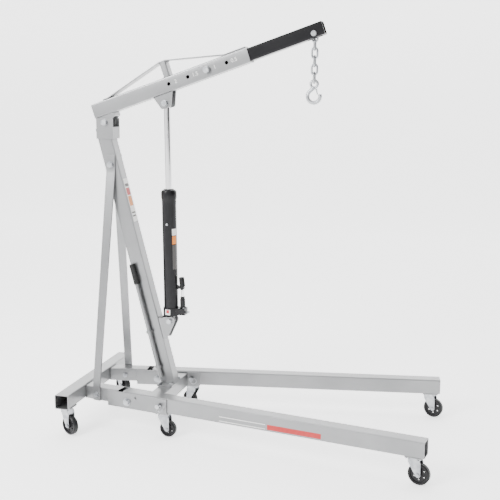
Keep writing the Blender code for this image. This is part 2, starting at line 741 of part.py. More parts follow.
def brace_top_bolt():
    top_x, top_z = brace_top()
    out = MAST_SIZE / 2 + GAP + BRACE_THICK
    bolt("brace_top_bolt", (top_x, -out, top_z), (top_x, out, top_z), BOLT_RADIUS, BASE)


def pump_handle():
    """Two-piece handle stowed along the mast's right side, with a thicker grip at its top."""
    out = MAST_SIZE / 2 + 0.004 + HANDLE_RADIUS
    place = Matrix.Translation((-HANDLE_BACK, -out, HANDLE_LOW))
    top = HANDLE_LENGTH
    profile = [
        (0.0, top), (GRIP_RADIUS - 0.003, top), (GRIP_RADIUS, top - 0.003), (GRIP_RADIUS, top - GRIP_LENGTH),
        (HANDLE_RADIUS, top - GRIP_LENGTH), (HANDLE_RADIUS, 0.002), (HANDLE_RADIUS - 0.002, 0.0), (0.0, 0.0),
    ]
    turned("pump_handle", profile, MAST, "silver_paint", 16, place)


def handle_clips(tube):
    """Rings on the mast's right side that the stowed pump handle stands in."""
    out = MAST_SIZE / 2 + 0.004 + HANDLE_RADIUS
    inner = HANDLE_RADIUS + 0.0015
    for index, height in enumerate(CLIPS):
        ring = [(inner, 0.006), (inner + 0.0035, 0.006), (inner + 0.0035, -0.006), (inner, -0.006)]
        place = Matrix.Translation((-HANDLE_BACK, -out, height))
        weld(tube, turned(f"mast_clip_{index}", ring, MAST, None, 18, place))


# ---------------------------------------------------------------- legs

def leg(name, side):
    """Folding leg tube in its own frame, whose origin is on the fold pivot."""
    frame = LEGS[name]
    middle = LEG_PIVOT_DROP - LEG_HEIGHT / 2
    tube = outline(f"leg_{name}", tube_loops(LEG_WIDTH, LEG_HEIGHT, LEG_WALL, (0.0, middle)),
                   -LEG_HEEL, LEG_END - LEG_PIVOT, "YZ", frame, "silver_paint")
    lock = (LOCK_PIN_S - LEG_PIVOT, LOCK_PIN_Z - PIVOT_LEG_Z)
    cut(tube, cross_hole(f"leg_{name}_pivot_cut", 0.0, 0.0, BOLT_RADIUS, frame))
    cut(tube, cross_hole(f"leg_{name}_lock_cut", lock[0], lock[1], LOCK_PIN_RADIUS, frame))
    bottom = LEG_PIVOT_DROP - LEG_HEIGHT
    caster_plate(f"front_caster_{name}", (FRONT_CASTER_S - LEG_PIVOT, 0.0), bottom, frame, tube)
    place = leg_matrix(side) @ Vector((FRONT_CASTER_S, 0.0, 0.0))
    heading = FRONT_HEADING[0 if side > 0 else 1]
    caster(f"front_caster_{name}", place, LEG_BOTTOM, WHEEL_RADIUS, math.radians(heading))
    lock_pin(name, side)


def lock_pin(name, side):
    """Short quick pin in the channel's wall, drawn clear of the leg, with a pull ring.

    Both pins face the crane's right: outside the right channel and inside the left one.
    """
    matrix = leg_matrix(side) @ Matrix.Translation((LOCK_PIN_S, -CHANNEL_HALF, LOCK_PIN_Z))
    frame = frame_at(f"lock_pin_frame_{name}", matrix)
    stand = PIN_TRAVEL + GAP
    nose = CHANNEL_WALL - GAP
    pin = rod(f"lock_pin_{name}", (0, -stand - 0.006, 0), (0, nose, 0), LOCK_PIN_RADIUS, frame, "zinc", 12)
    weld(pin, rod(f"lock_pin_{name}_head", (0, -stand - 0.012, 0), (0, -stand, 0), 0.0105, frame, sides=14))
    ring = []
    for index in range(16):
        angle = 2 * math.pi * index / 16
        ring.append((0.011 + 0.014 * math.cos(angle), -stand - 0.008, -0.008 + 0.014 * math.sin(angle)))
    weld(pin, wire(f"lock_pin_{name}_ring", ring, 0.0018, frame, closed=True, resolution=1))


# ---------------------------------------------------------------- boom

def boom_tube():
    centre = (0.0, BOOM_RISE)
    tube = outline("boom_tube", tube_loops(BOOM_WIDTH, BOOM_SIZE, BOOM_WALL, centre),
                   -BOOM_BACK, BOOM_FRONT, "YZ", BOOM, "silver_paint")
    places = [(HOLE_FIRST + index * HOLE_PITCH, BOOM_RISE) for index in range(HOLE_COUNT)]
    cut(tube, cross_holes("boom_holes", places, HOLE_RADIUS, BOOM))


def boom_heel():
    """Two lugs with a front web under the boom's rear end, around the pivot bolt."""
    under = BOOM_RISE - BOOM_SIZE / 2 - GAP
    loop = [(-0.034, under), (-0.026, 0.004)]
    loop += arc((0.0, 0.0), 0.026, 190, 345, 8)
    loop += [(0.034, 0.004), (0.056, 0.014), (0.056, under)]
    half = BOOM_WIDTH / 2 - GAP
    lug = 0.006
    heel = outline("boom_heel", [loop], half - lug, half, "XZ", BOOM, "silver_paint")
    weld(heel, outline("boom_heel_web", [[(0.050, 0.0118), (0.056, 0.014), (0.056, under), (0.050, under)]],
                       -half, half, "XZ", BOOM))
    weld(heel, outline("boom_heel_other_lug", [loop], -half, -half + lug, "XZ", BOOM))
    cut(heel, cross_hole("boom_heel_bolt_cut", 0.0, 0.0, BOLT_RADIUS, BOOM))


def boom_ram_bracket():
    """U bracket under the boom whose cheeks take the ram's top bolt."""
    under = BOOM_RISE - BOOM_SIZE / 2 - GAP
    inner = TOP_CHEEK_OUT - CHEEK_THICK
    loop = [(0.254, under), (0.273, -0.026)]
    loop += arc((0.281, -0.022), 0.009, 200, 265, 3)
    loop += arc((0.314, -0.023), 0.010, 275, 350, 3)
    loop.append((0.347, under))
    bracket = outline("boom_ram_bracket", [loop], inner, TOP_CHEEK_OUT, "XZ", BOOM, "silver_paint")
    web = box("boom_ram_web", (0.2595, -TOP_CHEEK_OUT + 0.001, 0.010),
              (0.273, TOP_CHEEK_OUT - 0.001, under - 0.001), BOOM)
    other = outline("boom_ram_other_cheek", [loop], -TOP_CHEEK_OUT, -inner, "XZ", BOOM)
    weld(bracket, web, other)
    cut(bracket, cross_hole("boom_ram_bolt_cut", RAM_TOP_T, RAM_TOP_N, BOLT_RADIUS, BOOM))
    seat = TOP_CHEEK_OUT + GAP
    stub = inner - 0.002
    for name, side, head in (("ram_top_bolt", -1.0, 0.010), ("ram_top_nut", 1.0, 0.008)):
        pin = rod(name, (RAM_TOP_T, side * stub, RAM_TOP_N), (RAM_TOP_T, side * (seat + 0.004), RAM_TOP_N),
                  BOLT_RADIUS, BOOM, "zinc")
        weld(pin, rod(name + "_washer", (RAM_TOP_T, side * seat, RAM_TOP_N),
                      (RAM_TOP_T, side * (seat + WASHER_THICK), RAM_TOP_N), 0.015, BOOM, sides=20))
        weld(pin, hexagon(name + "_hex", (RAM_TOP_T, side * (seat + 0.001), RAM_TOP_N),
                          (RAM_TOP_T, side * (seat + WASHER_THICK + head), RAM_TOP_N), 0.024, BOOM))


def truss():
    """Post on the boom's top and one bent flat strap over it."""
    boom_top = BOOM_RISE + BOOM_SIZE / 2 + GAP
    post_top = boom_top + POST_RISE
    post_middle = (POST_BACK + POST_FRONT) / 2
    post = tube_loops(POST_FRONT - POST_BACK, TRUSS_WIDTH, 0.003, (post_middle, 0.0))
    outline("truss_post", post, boom_top, post_top, "XY", BOOM, "silver_paint")
    low = [
        (TRUSS_BACK, boom_top), (TRUSS_TOE, boom_top), (POST_BACK - 0.001, post_top + GAP),
        (POST_FRONT + 0.001, post_top + GAP), (TRUSS_LAND, boom_top), (TRUSS_FRONT, boom_top),
    ]
    high = []
    for index, point in enumerate(low):
        high.append(strap_offset(low, index, point))
    outline("truss_strap", [low + high[::-1]], -TRUSS_WIDTH / 2, TRUSS_WIDTH / 2, "XZ", BOOM,
            "silver_paint")


def strap_offset(line, index, point):
    """The point one strap thickness above a corner of the strap's lower line."""
    before = Vector(line[max(index - 1, 0)])
    after = Vector(line[min(index + 1, len(line) - 1)])
    here = Vector(point)
    ways = [way.normalized() for way in (here - before, after - here) if way.length > 0.0]
    normals = [Vector((-way.y, way.x)) for way in ways]
    middle = sum(normals, Vector((0.0, 0.0))).normalized()
    reach = TRUSS_THICK / middle.dot(normals[0])
    return tuple(here + middle * reach)


def extension_lock_bolt():
    """Short lock bolt in the boom's right wall, drawn clear of the extension."""
    along = HOLE_FIRST + LOCK_HOLE * HOLE_PITCH
    face = -BOOM_WIDTH / 2
    pin = rod("extension_lock_bolt", (along, face - PIN_TRAVEL - GAP - 0.003, BOOM_RISE),
              (along, face + BOOM_WALL - GAP, BOOM_RISE), HOLE_RADIUS, BOOM, "zinc")
    seat = face - PIN_TRAVEL - GAP
    weld(pin, rod("extension_lock_bolt_flange", (along, seat - 0.004, BOOM_RISE), (along, seat, BOOM_RISE),
                  0.015, BOOM, sides=20))
    weld(pin, hexagon("extension_lock_bolt_hex", (along, seat - 0.012, BOOM_RISE),
                      (along, seat - 0.002, BOOM_RISE), 0.024, BOOM))


def boom_extension():
    """Inner boom tube with four lock holes and a slot under its tip for the chain."""
    tube = outline("boom_extension", tube_loops(EXT_WIDTH, EXT_SIZE, EXT_WALL, (0.0, BOOM_RISE)),
                   EXT_BACK, EXT_FRONT, "YZ", BOOM, "black_paint")
    lock = HOLE_FIRST + LOCK_HOLE * HOLE_PITCH
    places = [(lock + (index - 1) * HOLE_PITCH, BOOM_RISE) for index in range(HOLE_COUNT)]
    cut(tube, cross_holes("extension_holes", places, HOLE_RADIUS, BOOM))
    bolt_z = BOOM_RISE + HOOK_BOLT_N
    cut(tube, cross_hole("extension_hook_cut", HOOK_BOLT_T, bolt_z, HOOK_BOLT_RADIUS, BOOM))
    slot_half = 0.014
    floor = BOOM_RISE - EXT_SIZE / 2
    cut(tube, box("extension_slot", (HOOK_BOLT_T - 0.037, -slot_half, floor - 0.01),
                  (HOOK_BOLT_T + 0.029, slot_half, floor + EXT_WALL + 0.003), BOOM))
    bolt("hook_bolt", (HOOK_BOLT_T, -EXT_WIDTH / 2, bolt_z), (HOOK_BOLT_T, EXT_WIDTH / 2, bolt_z),
         HOOK_BOLT_RADIUS, BOOM, 0.019)


# ---------------------------------------------------------------- chain and hook

def link_points(top_inner, turned_link):
    """Centreline of one link whose inner top edge is at height top_inner, hanging straight."""
    half = CHAIN_HALF + CHAIN_WIRE
    upper = top_inner - CHAIN_HALF
    lower = top_inner - CHAIN_INNER + CHAIN_HALF
    flat = arc((0.0, upper), half, 0, 180, 6) + arc((0.0, lower), half, 180, 360, 6)
    if turned_link:
        return [(0.0, a, b) for a, b in flat]
    return [(a, 0.0, b) for a, b in flat]


def chain_and_hook():
    """Six links in turn across and along the crane, each hung inside the one above."""
    bolt_place = boom_matrix() @ Vector((HOOK_BOLT_T, 0.0, BOOM_RISE + HOOK_BOLT_N))
    hang = bolt_place.z
    top_inner = HOOK_BOLT_RADIUS + GAP
    for number in range(1, CHAIN_LINKS + 1):
        frame = frame_at(f"chain_frame_{number}", Matrix.Translation((bolt_place.x, 0.0, hang)))
        wire(f"chain_link_{number}", link_points(top_inner, number % 2 == 0), CHAIN_WIRE, frame,
             "zinc", closed=True)
        hang += top_inner - CHAIN_INNER - CHAIN_WIRE
        top_inner = CHAIN_WIRE + GAP
    frame = frame_at("hook_frame", Matrix.Translation((bolt_place.x, 0.0, hang)))
    hook(frame, top_inner)


def hook(frame, top_inner):
    """Eye hook with its point to the front, and the spring latch across its mouth."""
    eye_inner = 0.0095
    eye_wire = 0.0055
    eye_z = top_inner - eye_inner
    ring = []
    for index in range(16):
        angle = 2 * math.pi * index / 16
        ring.append(((eye_inner + eye_wire) * math.cos(angle), 0.0,
                     eye_z + (eye_inner + eye_wire) * math.sin(angle)))
    body = wire("hook", ring, eye_wire, frame, "zinc", closed=True)
    bowl = Vector((-0.001, eye_z - 0.0506))
    path = [(0.0, eye_z - 0.0145), (-0.008, eye_z - 0.021)]
    path += arc(bowl, HOOK_BOWL, 128, 378, 14)
    weld(body, wire("hook_bowl", [(x, 0.0, z) for x, z in path], HOOK_THICK, frame))
    tip = Vector((0.0152, eye_z - 0.0430))
    root = Vector((0.0095, eye_z - 0.0228))
    latch_frame = frame_at("latch_frame", Matrix.Identity(4))
    latch_frame.matrix_world = frame.matrix_world @ Matrix.Translation((root.x, 0.0, root.y))
    way = tip - root
    side = Vector((-way.y, way.x)).normalized() * 0.0015
    blade = [tuple(side), tuple(way + side), tuple(way - side), tuple(-side)]
    latch = outline("hook_latch", [blade], -0.006, 0.006, "XZ", latch_frame, "zinc")
    weld(latch, rod("hook_latch_eye", (0, -0.0062, 0), (0, 0.0062, 0), 0.0032, latch_frame, sides=12))


# ---------------------------------------------------------------- ram

def ram_foot_bracket():
    """U bracket on the mast's front face that takes the ram's foot bolt."""
    inner = FOOT_CHEEK_OUT - CHEEK_THICK
    face = MAST_DEPTH / 2 / math.cos(MAST_LEAN) + GAP * 1.5
    top_z, low_z = RAM_FOOT_Z + 0.010, RAM_FOOT_Z - 0.086
    loop = [(mast_axis_x(top_z) + face, top_z), (mast_axis_x(low_z) + face, low_z)]
    loop += [(mast_axis_x(low_z) + face + 0.016, low_z + 0.002)]
    loop += arc((RAM_FOOT_X, RAM_FOOT_Z), 0.0235, -25, 60, 5)
    bracket = outline("ram_foot_bracket", [loop], inner, FOOT_CHEEK_OUT, "XZ", BASE, "silver_paint")
    sheet = 0.005
    web = [loop[0], loop[1], (loop[1][0] + sheet, low_z), (loop[0][0] + sheet, top_z)]
    weld(bracket, outline("ram_foot_web", [web], -FOOT_CHEEK_OUT, FOOT_CHEEK_OUT, "XZ", BASE))
    weld(bracket, outline("ram_foot_other_cheek", [loop], -FOOT_CHEEK_OUT, -inner, "XZ", BASE))
    cut(bracket, hole("ram_foot_bolt_cut", (RAM_FOOT_X, -0.05, RAM_FOOT_Z), (RAM_FOOT_X, 0.05, RAM_FOOT_Z),
                      BOLT_RADIUS, BASE))
    bolt("ram_foot_bolt", (RAM_FOOT_X, -FOOT_CHEEK_OUT, RAM_FOOT_Z), (RAM_FOOT_X, FOOT_CHEEK_OUT, RAM_FOOT_Z),
         BOLT_RADIUS, BASE, 0.022)


def ram():
    """Long hydraulic ram: base block with pump, cylinder, rod and its eye."""
    low, high = RAM_BASE
    block = rod("ram_base_block", (0, 0, low), (0, 0, high), RAM_RADIUS + 0.004, RAM, "black_paint", 24)
    weld(block, box("ram_pump_block", (0.0, -0.021, low + 0.004), (PUMP_X + 0.016, 0.021, high - 0.001), RAM))
    weld(block, rod("ram_foot_eye", (0, -0.0185, 0), (0, 0.0185, 0), 0.017, RAM, sides=20))
    weld(block, box("ram_foot_neck", (-0.015, -0.0185, 0.0), (0.015, 0.0185, low + 0.004), RAM))
    cut(block, cross_hole("ram_foot_eye_cut", 0.0, 0.0, BOLT_RADIUS, RAM))
    cut(block, rod("ram_block_top_cut", (0, 0, high), (0, 0, high + 0.1), RAM_RADIUS + 0.02, RAM, sides=24))
    bottom = high + GAP
    top = RAM_TUBE_TOP
    profile = [
        (RAM_BORE, top), (0.022, top), (0.024, top - 0.003), (0.031, top - 0.006), (0.0355, top - 0.014),
        (0.0355, top - 0.040), (0.033, top - 0.046), (0.033, top - 0.060), (RAM_RADIUS, top - 0.064),
        (RAM_RADIUS, bottom), (0.0, bottom), (0.0, bottom + 0.010), (RAM_BORE, bottom + 0.010),
    ]
    cylinder = closed_turned("ram_cylinder", profile, RAM, "black_paint", 28)
    weld(cylinder, box("ram_fulcrum_lug", (RAM_RADIUS - 0.004, -0.004, 0.146), (0.0395, 0.004, 0.164), RAM))
    head = 0.017
    rod_top = RAM_LENGTH - head + 0.002
    piston = turned("ram_rod",
                    [(0.0, rod_top), (ROD_RADIUS, rod_top), (ROD_RADIUS, ROD_TAIL), (0.0, ROD_TAIL)],
                    RAM, "chrome", 20)
    weld(piston, rod("ram_rod_eye", (0, -0.016, RAM_LENGTH), (0, 0.016, RAM_LENGTH), head, RAM, sides=20))
    cut(piston, cross_hole("ram_rod_eye_cut", 0.0, RAM_LENGTH, BOLT_RADIUS, RAM))


def closed_turned(name, profile, frame, finish, sides):
    """A turned piece whose profile starts and ends on its bore."""
    mesh = bpy.data.meshes.new(name)
    bm = bmesh.new()
    verts = [bm.verts.new((radius, 0.0, height)) for radius, height in profile]
    loop = verts + [verts[0]]
    for first, second in zip(loop, loop[1:]):
        if not (first.co.x == 0.0 and second.co.x == 0.0):
            bm.edges.new((first, second))
    bm.to_mesh(mesh)
    bm.free()
    obj = bpy.data.objects.new(name, mesh)
    screw = obj.modifiers.new("turn", "SCREW")
    screw.steps = sides
    screw.render_steps = sides
    screw.use_merge_vertices = True
    screw.merge_threshold = 0.00001
    return add_object(name, evaluated_mesh(obj), frame, finish, smooth=True)


def pump():
    """Pump barrel and plunger ahead of the cylinder, the handle socket and the release valve."""
    base = RAM_BASE[1] - 0.001 + GAP
    barrel_top = 0.112
    bore = PLUNGER_RADIUS + HOLE_PLAY
    barrel = [(bore, barrel_top), (PUMP_RADIUS, barrel_top), (PUMP_RADIUS, barrel_top - 0.010),
              (PUMP_RADIUS + 0.002, barrel_top - 0.012), (PUMP_RADIUS + 0.002, base), (0.0, base),
              (0.0, base + 0.006), (bore, base + 0.006)]
    shift = Matrix.Translation((PUMP_X, 0.0, 0.0))
    piece = closed_turned("pump_barrel", barrel, RAM, "black_paint", 16)
    piece.data.transform(shift)
    plunger_top = 0.1405
    turned("pump_plunger", [(0.0, plunger_top), (PLUNGER_RADIUS, plunger_top), (PLUNGER_RADIUS, base + 0.026),
                            (0.0, base + 0.026)], RAM, "chrome", 14, shift)
    fulcrum = Vector((0.0435, 0.0, 0.155))
    socket_frame = frame_at("socket_frame", ram_matrix() @ Matrix.Translation(fulcrum))
    reach = PUMP_X - fulcrum.x
    socket = rod("handle_socket", (reach + 0.001, 0, 0.004), (reach - 0.004, 0, 0.046), 0.0125, socket_frame,
                 "black_paint", 16)
    weld(socket, rod("socket_foot", (reach, -0.009, -0.004), (reach, 0.009, -0.004), 0.0085, socket_frame))
    weld(socket, box("socket_web", (reach - 0.006, -0.007, -0.004), (reach + 0.006, 0.007, 0.008),
                     socket_frame))
    weld(socket, box("socket_arm_a", (-0.004, 0.0048, -0.006), (reach + 0.004, 0.0085, 0.006), socket_frame))
    weld(socket, box("socket_arm_b", (-0.004, -0.0085, -0.006), (reach + 0.004, -0.0048, 0.006),
                     socket_frame))
    cut(socket, rod("socket_bore", (reach - 0.0007, 0, 0.014), (reach - 0.006, 0, 0.060), 0.0095,
                    socket_frame))
    valve_x = PUMP_X + 0.016 + GAP
    valve_z = RAM_BASE[0] + 0.018
    valve = rod("release_valve", (valve_x, -0.008, valve_z), (valve_x + 0.014, -0.008, valve_z), 0.005, RAM,
                "zinc", 12)
    weld(valve, box("release_valve_wing", (valve_x + 0.010, -0.017, valve_z - 0.003),
                    (valve_x + 0.017, 0.001, valve_z + 0.003), RAM))


# ---------------------------------------------------------------- the crane

def build():
    rear_crossbar()
    for name, side in SIDES.items():
        base_arm(name, side)
        leg_channel(name, side)
        brace(name, side)
        leg(name, side)
    cross_beam()
    mast()
    mast_head_bracket()
    brace_top_bolt()
    pump_handle()
    boom_tube()
    boom_heel()
    boom_ram_bracket()
    truss()
    extension_lock_bolt()
    boom_extension()
    chain_and_hook()
    ram_foot_bracket()
    ram()
    pump()


build()
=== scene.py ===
import math

import bmesh
import bpy
from mathutils import Matrix, Vector


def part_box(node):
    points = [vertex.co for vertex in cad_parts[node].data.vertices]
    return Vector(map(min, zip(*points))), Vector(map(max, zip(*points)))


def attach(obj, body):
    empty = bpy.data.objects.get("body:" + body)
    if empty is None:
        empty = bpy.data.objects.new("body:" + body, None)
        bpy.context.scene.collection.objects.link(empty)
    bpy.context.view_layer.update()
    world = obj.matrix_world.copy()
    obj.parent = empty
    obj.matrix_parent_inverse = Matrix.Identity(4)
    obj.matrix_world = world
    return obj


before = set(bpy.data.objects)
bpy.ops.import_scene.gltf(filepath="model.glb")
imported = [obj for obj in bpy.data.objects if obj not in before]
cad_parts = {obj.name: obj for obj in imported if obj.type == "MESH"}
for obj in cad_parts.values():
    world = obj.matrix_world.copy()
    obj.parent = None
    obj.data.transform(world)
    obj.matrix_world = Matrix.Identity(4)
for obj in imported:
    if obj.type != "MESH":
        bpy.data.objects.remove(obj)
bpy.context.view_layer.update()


# The rear crossbar is a welded square steel tube, open at both ends, in
# silver-grey enamel over a lightly pebbled primer. Its casters bolt on below.
CRANE_MIDDLE = (0.065 + 1.533 * math.cos(math.radians(9.43)) + 0.020 + 0.0445) / 2


def link(tree, source, target):
    tree.links.new(source, target)


def enamel(name, light, dark, roughness, metallic, pebble=0.05, dust=(0.30, 0.29, 0.27),
           coat=0.35, bending=1.5):
    """Sprayed enamel: cloudy tone, orange peel, hairline rubs, a little dust in scattered patches."""
    material = bpy.data.materials.new(name)
    material.use_nodes = True
    tree = material.node_tree
    shader = tree.nodes["Principled BSDF"]
    shader.inputs["Metallic"].default_value = metallic
    shader.inputs["Coat Weight"].default_value = coat
    shader.inputs["Coat Roughness"].default_value = 0.18
    shader.inputs["IOR"].default_value = bending
    place = tree.nodes.new("ShaderNodeTexCoord").outputs["Object"]
    cloud = tree.nodes.new("ShaderNodeTexNoise")
    cloud.inputs["Scale"].default_value = 5.0
    cloud.inputs["Detail"].default_value = 5.0
    link(tree, place, cloud.inputs["Vector"])
    tone = tree.nodes.new("ShaderNodeValToRGB")
    tone.color_ramp.elements[0].position = 0.30
    tone.color_ramp.elements[0].color = (*dark, 1.0)
    tone.color_ramp.elements[1].position = 0.70
    tone.color_ramp.elements[1].color = (*light, 1.0)
    link(tree, cloud.outputs["Fac"], tone.inputs["Fac"])
    grime = tree.nodes.new("ShaderNodeTexNoise")
    grime.inputs["Scale"].default_value = 38.0
    grime.inputs["Detail"].default_value = 8.0
    grime.inputs["Roughness"].default_value = 0.7
    link(tree, place, grime.inputs["Vector"])
    grime_spread = tree.nodes.new("ShaderNodeMapRange")
    grime_spread.inputs["From Min"].default_value = 0.60
    grime_spread.inputs["From Max"].default_value = 0.80
    grime_spread.inputs["To Max"].default_value = 0.10
    link(tree, grime.outputs["Fac"], grime_spread.inputs["Value"])
    dusted = tree.nodes.new("ShaderNodeMixRGB")
    dusted.inputs["Color2"].default_value = (*dust, 1.0)
    link(tree, grime_spread.outputs["Result"], dusted.inputs["Fac"])
    link(tree, tone.outputs["Color"], dusted.inputs["Color1"])
    link(tree, dusted.outputs["Color"], shader.inputs["Base Color"])
    rubs_place = tree.nodes.new("ShaderNodeMapping")
    rubs_place.inputs["Scale"].default_value = (6.0, 40.0, 90.0)
    rubs_place.inputs["Rotation"].default_value = (0.3, 0.2, 0.5)
    link(tree, place, rubs_place.inputs["Vector"])
    rubs = tree.nodes.new("ShaderNodeTexNoise")
    rubs.inputs["Scale"].default_value = 2.0
    rubs.inputs["Detail"].default_value = 6.0
    link(tree, rubs_place.outputs["Vector"], rubs.inputs["Vector"])
    sheen = tree.nodes.new("ShaderNodeMapRange")
    sheen.inputs["From Min"].default_value = 0.3
    sheen.inputs["From Max"].default_value = 0.8
    sheen.inputs["To Min"].default_value = roughness
    sheen.inputs["To Max"].default_value = roughness + 0.03
    link(tree, rubs.outputs["Fac"], sheen.inputs["Value"])
    link(tree, sheen.outputs["Result"], shader.inputs["Roughness"])
    peel = tree.nodes.new("ShaderNodeTexNoise")
    peel.inputs["Scale"].default_value = 260.0
    peel.inputs["Detail"].default_value = 2.0
    link(tree, place, peel.inputs["Vector"])
    bump = tree.nodes.new("ShaderNodeBump")
    bump.inputs["Strength"].default_value = pebble
    bump.inputs["Distance"].default_value = 0.0004
    link(tree, peel.outputs["Fac"], bump.inputs["Height"])
    link(tree, bump.outputs["Normal"], shader.inputs["Normal"])
    return material


SILVER = enamel("silver_enamel", (0.235, 0.238, 0.242), (0.190, 0.193, 0.197), 0.30, 0.65, 0.015)


def dress(node_name, material, edge=0.0007, crease=35.0):
    """A frame piece with its finish, its edges broken as paint rounds them, and soft shading."""
    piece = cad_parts[node_name]
    mesh = piece.data
    if mesh.materials:
        for index in range(len(mesh.materials)):
            mesh.materials[index] = material
    else:
        mesh.materials.append(material)
    weld = piece.modifiers.new("joined", "WELD")
    weld.merge_threshold = 0.00002
    if edge:
        bevel = piece.modifiers.new("broken_edges", "BEVEL")
        bevel.width = edge
        bevel.segments = 2
        bevel.limit_method = "ANGLE"
        bevel.angle_limit = math.radians(crease)
        bevel.harden_normals = False
    for polygon in mesh.polygons:
        polygon.use_smooth = True
    shade = piece.modifiers.new("flat_faces", "WEIGHTED_NORMAL")
    shade.keep_sharp = True
    shade.weight = 100
    return piece


dress("rear_crossbar", SILVER)


def finish_piece(name, body, bm, material, smooth=40.0):
    """A made piece: mesh closed and turned outwards, smoothed by angle, riding its body."""
    bmesh.ops.recalc_face_normals(bm, faces=bm.faces)
    mesh = bpy.data.meshes.new(name)
    bm.to_mesh(mesh)
    bm.free()
    mesh.materials.append(material)
    mesh.shade_smooth()
    mesh.set_sharp_from_angle(angle=math.radians(smooth))
    piece = bpy.data.objects.new(name, mesh)
    bpy.context.scene.collection.objects.link(piece)
    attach(piece, body)
    return piece


def crane(x, y, z):
    """A place counted from the crossbar's rear face, as a place in the crane's own frame."""
    return Vector((x - CRANE_MIDDLE, y, z))


def add_weld_bead(bm, start, end, radius, pitch=0.0035):
    """Overlapping flattened drops along a seam, as a wire feed leaves them."""
    way = end - start
    count = max(2, int(way.length / pitch))
    turn = way.to_track_quat("Z", "Y").to_matrix().to_4x4()
    for index in range(count + 1):
        middle = start + way * index / count
        size = radius * (1.0 + 0.12 * math.sin(index * 2.3))
        shape = Matrix.Translation(middle) @ turn @ Matrix.Diagonal((1.0, 1.0, 0.75, 1.0))
        bmesh.ops.create_icosphere(bm, subdivisions=1, radius=size, matrix=shape)


# The two base arms are square tubes welded square to the crossbar's face, and
# splay outwards. A bead of weld runs round each joint under the paint.
SPLAY = math.radians(9.43)
SIDES = {"left": 1.0, "right": -1.0}


def arm_place(side):
    """Origin on the arm's centreline at the crossbar, on the floor; X along the arm and leg."""
    turn = Matrix.Rotation(side * SPLAY, 4, "Z")
    return Matrix.Translation(crane(0.065, side * 0.1335, 0.0)) @ turn


for name, side in SIDES.items():
    dress(f"base_arm_{name}", SILVER)
    seam = bmesh.new()
    corner = 0.0345
    low, high = 0.1275, 0.1845
    for edge_y in (-corner, corner):
        start = crane(0.0665, side * 0.1335 + edge_y, low)
        end = crane(0.0665, side * 0.1335 + edge_y, high)
        add_weld_bead(seam, start, end, 0.0022)
    start = crane(0.0665, side * 0.1335 - 0.031, 0.1868)
    end = crane(0.0665, side * 0.1335 + 0.031, 0.1868)
    add_weld_bead(seam, start, end, 0.0022)
    finish_piece(f"arm_weld_{name}", "base", seam, SILVER, 60.0)


# The leg channels are folded steel troughs that close round the arms and the
# legs' heels. Each carries a middle caster under its front end.
for name, side in SIDES.items():
    dress(f"leg_channel_{name}", SILVER, edge=0.0006)
    seam = bmesh.new()
    place = arm_place(side)
    for out in (-0.0335, 0.0335):
        add_weld_bead(seam, place @ Vector((0.1272, out, 0.128)), place @ Vector((0.1272, out, 0.178)),
                      0.0020)
    add_weld_bead(seam, place @ Vector((0.1272, -0.030, 0.1235)), place @ Vector((0.1272, 0.030, 0.1235)),
                  0.0020)
    finish_piece(f"channel_weld_{name}", "base", seam, SILVER, 60.0)


# The legs are long square tubes, open in front, that fold up about a bolt
# through the channel. The same enamel covers them, made a touch lighter as
# painted light, for the brighter light that falls on the legs.
LEG_SILVER_PAINTED_LIGHTER = enamel("leg_enamel_painted_lighter", (0.245, 0.248, 0.252), (0.205, 0.208, 0.212), 0.30, 0.65, 0.015)
for name in SIDES:
    dress(f"leg_{name}", LEG_SILVER_PAINTED_LIGHTER)


# A plain red band and two thin pale bands are printed on the right leg's outer
# face. They are thin film, faintly mottled, with no words on them.
def film(name, colour, roughness=0.42):
    """Printed film: flat colour, faintly mottled and rubbed."""
    material = bpy.data.materials.new(name)
    material.use_nodes = True
    tree = material.node_tree
    shader = tree.nodes["Principled BSDF"]
    shader.inputs["Roughness"].default_value = roughness
    place = tree.nodes.new("ShaderNodeTexCoord").outputs["Object"]
    mottle = tree.nodes.new("ShaderNodeTexNoise")
    mottle.inputs["Scale"].default_value = 90.0
    mottle.inputs["Detail"].default_value = 6.0
    link(tree, place, mottle.inputs["Vector"])
    tone = tree.nodes.new("ShaderNodeValToRGB")
    tone.color_ramp.elements[0].position = 0.35
    tone.color_ramp.elements[0].color = (*[channel * 0.86 for channel in colour], 1.0)
    tone.color_ramp.elements[1].position = 0.65
    tone.color_ramp.elements[1].color = (*colour, 1.0)
    link(tree, mottle.outputs["Fac"], tone.inputs["Fac"])
    link(tree, tone.outputs["Color"], shader.inputs["Base Color"])
    bump = tree.nodes.new("ShaderNodeBump")
    bump.inputs["Strength"].default_value = 0.05
    bump.inputs["Distance"].default_value = 0.0003
    link(tree, mottle.outputs["Fac"], bump.inputs["Height"])
    link(tree, bump.outputs["Normal"], shader.inputs["Normal"])
    return material


RED_FILM = film("red_film", (0.42, 0.008, 0.010))
PALE_FILM = film("pale_film", (0.72, 0.72, 0.70))
ORANGE_FILM = film("orange_film", (0.66, 0.19, 0.01))
GREY_FILM = film("grey_film", (0.045, 0.042, 0.040))


def add_slab(bm, matrix, low, high):
    """A rectangular slab between two corners in a place's own frame."""
    low, high = Vector(low), Vector(high)
    made = bmesh.ops.create_cube(bm, size=1.0)["verts"]
    bmesh.ops.scale(bm, vec=high - low, verts=made)
    bmesh.ops.translate(bm, vec=(low + high) / 2, verts=made)
    bmesh.ops.transform(bm, matrix=matrix, verts=made)


FILM_THICK = 0.0002
FILM_GAP = 0.00002
near_leg = arm_place(-1.0)
leg_face = -0.032
for title, low_s, high_s, low_z, high_z, stock in (
        ("leg_band_red", 0.914, 1.153, 0.1265, 0.1485, RED_FILM),
        ("leg_band_pale_upper", 0.690, 0.905, 0.1455, 0.1485, PALE_FILM),
        ("leg_band_pale_lower", 0.690, 0.905, 0.1265, 0.1295, PALE_FILM)):
    band = bmesh.new()
    add_slab(band, near_leg, (low_s, leg_face - FILM_THICK, low_z), (high_s, leg_face - FILM_GAP, high_z))
    finish_piece(title, "leg_right", band, stock)


